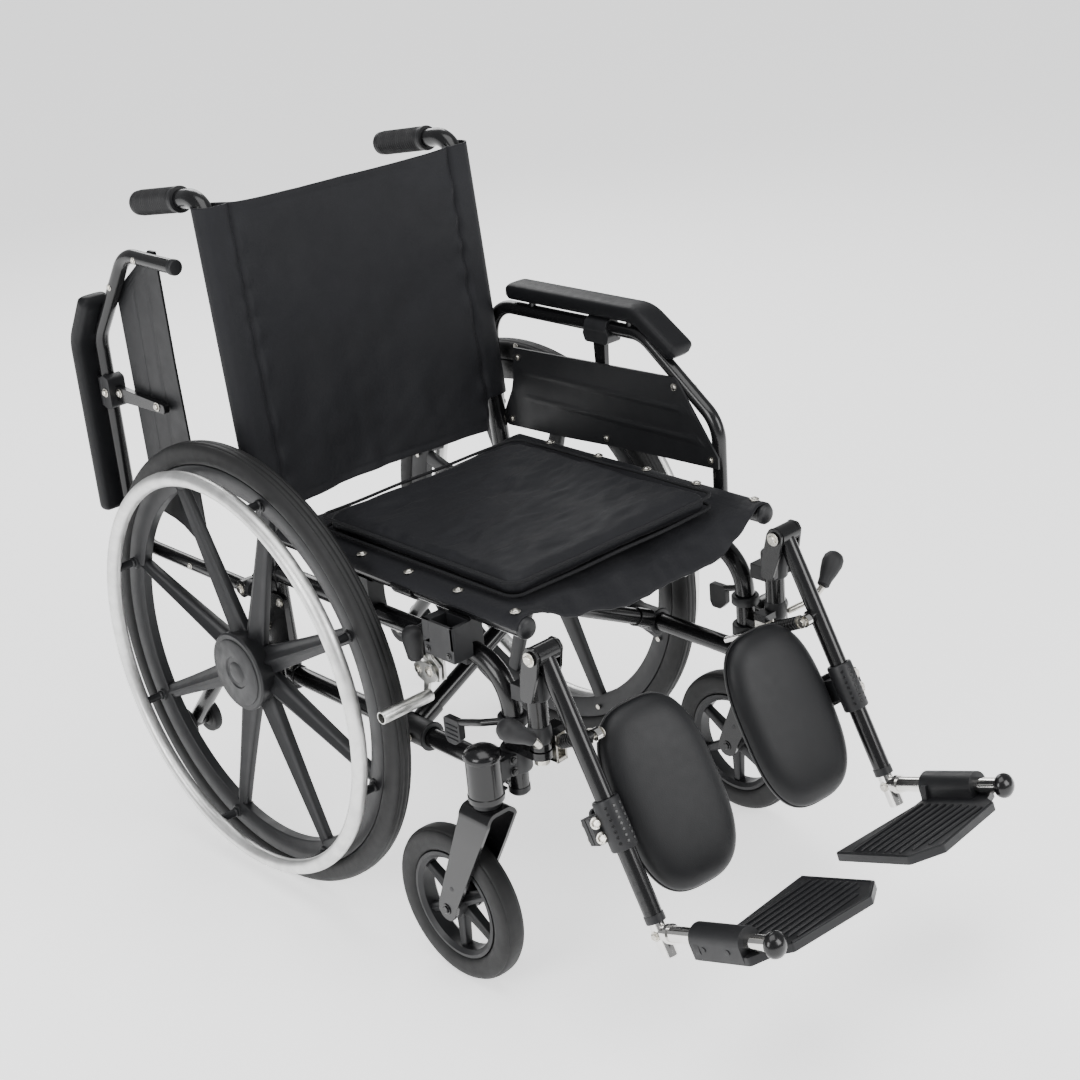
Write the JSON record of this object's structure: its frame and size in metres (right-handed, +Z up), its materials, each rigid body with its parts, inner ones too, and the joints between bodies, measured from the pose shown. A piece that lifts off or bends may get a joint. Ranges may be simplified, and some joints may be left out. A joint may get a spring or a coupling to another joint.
{
  "type": "manual wheelchair",
  "caption": "Folding manual wheelchair with large push wheels, swivel casters, sling seat, flip-back arms and elevating leg rests.",
  "frame": {"origin": "middle of the footprint, on the ground under the chair", "axes": "-Y is the way the chair faces, +X is the sitter's left, +Z is up"},
  "size_m": [0.615, 1.1931, 0.9153],
  "materials": {
    "black_enamel": "glossy black powder coat on steel tube",
    "moulded_black": "satin moulded glass-filled nylon",
    "grip_rubber": "matte ribbed rubber",
    "tyre": "solid tyre, matte black",
    "silver": "satin anodised",
    "chrome": "polished",
    "vinyl": "soft black vinyl",
    "nylon": "woven black nylon"
  },
  "bodies": {
    "right_frame": {"side_frame_right": "black_enamel", "push_grip_right": "grip_rubber", "rail_block_right": "moulded_black", "anti_tip_tube_right": "black_enamel", "caster_housing_right": "moulded_black", "wheel_lock_right": "silver", "hanger_pin_right": "silver", "back_rest": "nylon"},
    "right_brace": {"cross_brace_right": "black_enamel", "seat_rail_left": "black_enamel"},
    "left_brace": {"cross_brace_left": "black_enamel", "seat_rail_right": "black_enamel"},
    "seat": {"seat_sling": "nylon", "seat_cushion": "nylon"},
    "left_frame": {"side_frame_left": "black_enamel", "push_grip_left": "grip_rubber", "rail_block_left": "moulded_black", "anti_tip_tube_left": "black_enamel", "caster_housing_left": "moulded_black", "wheel_lock_left": "silver", "hanger_pin_left": "silver"},
    "left_rear_wheel": {"rear_wheel_left": "moulded_black", "rear_tyre_left": "tyre", "handrim_left": "silver"},
    "left_caster_fork": {"caster_fork_left": "black_enamel"},
    "left_caster_wheel": {"caster_wheel_left": "tyre"},
    "left_armrest": {"arm_tube_left": "black_enamel", "arm_pad_left": "vinyl", "arm_panel_left": "moulded_black"},
    "left_lock_lever": {"lock_lever_left": "silver"},
    "left_release_lever": {"release_lever_left": "moulded_black"},
    "left_hanger": {"hanger_left": "black_enamel"},
    "left_height_lever": {"height_lever_left": "moulded_black"},
    "left_leg": {"leg_tube_left": "black_enamel", "foot_tube_left": "chrome"},
    "left_lock_rod": {"lock_rod_left": "chrome"},
    "left_calf_pad": {"calf_clamp_left": "moulded_black", "calf_pad_left": "vinyl"},
    "left_footplate": {"footplate_left": "moulded_black"},
    "left_anti_tip_wheels": {"anti_tip_wheels_left": "grip_rubber"},
    "right_rear_wheel": {"rear_wheel_right": "moulded_black", "rear_tyre_right": "tyre", "handrim_right": "silver"},
    "right_caster_fork": {"caster_fork_right": "black_enamel"},
    "right_caster_wheel": {"caster_wheel_right": "tyre"},
    "right_armrest": {"arm_tube_right": "black_enamel", "arm_pad_right": "vinyl", "arm_panel_right": "moulded_black"},
    "right_lock_lever": {"lock_lever_right": "silver"},
    "right_release_lever": {"release_lever_right": "moulded_black"},
    "right_hanger": {"hanger_right": "black_enamel"},
    "right_height_lever": {"height_lever_right": "moulded_black"},
    "right_leg": {"leg_tube_right": "black_enamel", "foot_tube_right": "chrome"},
    "right_lock_rod": {"lock_rod_right": "chrome"},
    "right_calf_pad": {"calf_clamp_right": "moulded_black", "calf_pad_right": "vinyl"},
    "right_footplate": {"footplate_right": "moulded_black"},
    "right_anti_tip_wheels": {"anti_tip_wheels_right": "grip_rubber"}
  },
  "joints": [
    {"name": "fold", "type": "hinge", "parent": "right_frame", "child": "right_brace", "pos_m": [-0.204, -0.0114, 0.275], "axis": [0, -1, 0], "range_deg": [0, 12], "deforming": ["seat_sling", "seat_cushion", "back_rest"]},
    {"name": "brace_cross", "type": "hinge", "parent": "right_brace", "child": "left_brace", "pos_m": [0, -0.0114, 0.3765], "axis": [0, -1, 0], "range_deg": [-24, 0]},
    {"name": "left_side", "type": "hinge", "parent": "left_brace", "child": "left_frame", "pos_m": [0.204, -0.0114, 0.275], "axis": [0, -1, 0], "range_deg": [0, 12]},
    {"name": "seat_rise", "type": "slide", "parent": "right_frame", "child": "seat", "axis": [0, 0, 1], "range_m": [0, 0.0804]},
    {"name": "rear_wheel_spin_left", "type": "hinge", "parent": "left_frame", "child": "left_rear_wheel", "pos_m": [0.2565, 0.2586, 0.305], "axis": [1, 0, 0], "continuous": true},
    {"name": "caster_swivel_left", "type": "hinge", "parent": "left_frame", "child": "left_caster_fork", "pos_m": [0.2546, -0.1889, 0.29], "axis": [0, 0, 1], "continuous": true},
    {"name": "caster_spin_left", "type": "hinge", "parent": "left_caster_fork", "child": "left_caster_wheel", "pos_m": [0.2546, -0.1203, 0.1007], "axis": [1, 0, 0], "continuous": true},
    {"name": "arm_flip_left", "type": "hinge", "parent": "left_frame", "child": "left_armrest", "pos_m": [0.23, 0.2896, 0.399], "axis": [-1, 0, 0], "range_deg": [0, 90]},
    {"name": "wheel_lock_left", "type": "hinge", "parent": "left_frame", "child": "left_lock_lever", "pos_m": [0.226, -0.0784, 0.389], "axis": [1, 0, 0], "range_deg": [0, 19]},
    {"name": "release_left", "type": "hinge", "parent": "left_frame", "child": "left_release_lever", "pos_m": [0.204, -0.1894, 0.352], "axis": [0, 0, 1], "range_deg": [0, 15]},
    {"name": "leg_swing_left", "type": "hinge", "parent": "left_frame", "child": "left_hanger", "pos_m": [0.207, -0.2374, 0.36], "axis": [0, 0, -1], "range_deg": [-80, 0]},
    {"name": "height_lever_left", "type": "hinge", "parent": "left_hanger", "child": "left_height_lever", "pos_m": [0.221, -0.2454, 0.343], "axis": [0, 1, 0], "range_deg": [0, 12], "stiffness_Nm_per_rad": 4, "springref_deg": -5.73},
    {"name": "leg_raise_left", "type": "hinge", "parent": "left_hanger", "child": "left_leg", "pos_m": [0.207, -0.2554, 0.457], "axis": [-1, 0, 0], "range_deg": [0, 40]},
    {"name": "lock_rod_turn_left", "type": "hinge", "parent": "left_leg", "child": "left_lock_rod", "pos_m": [0.184, -0.3054, 0.361], "axis": [-1, 0, 0], "range_deg": [-29.6, 0]},
    {"name": "calf_pad_swing_left", "type": "hinge", "parent": "left_leg", "child": "left_calf_pad", "pos_m": [0.207, -0.34986, 0.27506], "axis": [0, -0.4608, -0.8875], "range_deg": [-70, 0]},
    {"name": "footplate_flip_left", "type": "hinge", "parent": "left_leg", "child": "left_footplate", "pos_m": [0.207, -0.4124, 0.158], "axis": [0, 0.9432, -0.3322], "range_deg": [0, 88]},
    {"name": "anti_tip_spin_left", "type": "hinge", "parent": "left_frame", "child": "left_anti_tip_wheels", "pos_m": [0.204, 0.5206, 0.114], "axis": [1, 0, 0], "continuous": true},
    {"name": "rear_wheel_spin_right", "type": "hinge", "parent": "right_frame", "child": "right_rear_wheel", "pos_m": [-0.2565, 0.2586, 0.305], "axis": [1, 0, 0], "continuous": true},
    {"name": "caster_swivel_right", "type": "hinge", "parent": "right_frame", "child": "right_caster_fork", "pos_m": [-0.2546, -0.1889, 0.29], "axis": [0, 0, 1], "continuous": true},
    {"name": "caster_spin_right", "type": "hinge", "parent": "right_caster_fork", "child": "right_caster_wheel", "pos_m": [-0.2546, -0.1203, 0.1007], "axis": [1, 0, 0], "continuous": true},
    {"name": "arm_flip_right", "type": "hinge", "parent": "right_frame", "child": "right_armrest", "pos_m": [-0.23, 0.2896, 0.399], "axis": [1, 0, 0], "range_deg": [0, 90]},
    {"name": "wheel_lock_right", "type": "hinge", "parent": "right_frame", "child": "right_lock_lever", "pos_m": [-0.226, -0.0784, 0.389], "axis": [1, 0, 0], "range_deg": [0, 19]},
    {"name": "release_right", "type": "hinge", "parent": "right_frame", "child": "right_release_lever", "pos_m": [-0.204, -0.1894, 0.352], "axis": [0, 0, -1], "range_deg": [0, 15]},
    {"name": "leg_swing_right", "type": "hinge", "parent": "right_frame", "child": "right_hanger", "pos_m": [-0.207, -0.2374, 0.36], "axis": [0, 0, 1], "range_deg": [-80, 0]},
    {"name": "height_lever_right", "type": "hinge", "parent": "right_hanger", "child": "right_height_lever", "pos_m": [-0.221, -0.2454, 0.343], "axis": [0, -1, 0], "range_deg": [0, 12], "stiffness_Nm_per_rad": 4, "springref_deg": -5.73},
    {"name": "leg_raise_right", "type": "hinge", "parent": "right_hanger", "child": "right_leg", "pos_m": [-0.207, -0.2554, 0.457], "axis": [-1, 0, 0], "range_deg": [0, 40]},
    {"name": "lock_rod_turn_right", "type": "hinge", "parent": "right_leg", "child": "right_lock_rod", "pos_m": [-0.184, -0.3054, 0.361], "axis": [-1, 0, 0], "range_deg": [-29.6, 0]},
    {"name": "calf_pad_swing_right", "type": "hinge", "parent": "right_leg", "child": "right_calf_pad", "pos_m": [-0.207, -0.34986, 0.27506], "axis": [0, 0.4608, 0.8875], "range_deg": [-70, 0]},
    {"name": "footplate_flip_right", "type": "hinge", "parent": "right_leg", "child": "right_footplate", "pos_m": [-0.207, -0.4124, 0.158], "axis": [0, -0.9432, 0.3322], "range_deg": [0, 88]},
    {"name": "anti_tip_spin_right", "type": "hinge", "parent": "right_frame", "child": "right_anti_tip_wheels", "pos_m": [-0.204, 0.5206, 0.114], "axis": [1, 0, 0], "continuous": true}
  ],
  "couplings": [
    {"joint": "seat_rise", "follows": "fold", "m_per_rad": 0.3838},
    {"joint": "brace_cross", "follows": "fold", "ratio": -2},
    {"joint": "left_side", "follows": "fold", "ratio": 1},
    {"joint": "lock_rod_turn_left", "follows": "leg_raise_left", "ratio": -0.7375},
    {"joint": "lock_rod_turn_right", "follows": "leg_raise_right", "ratio": -0.7375}
  ]
}
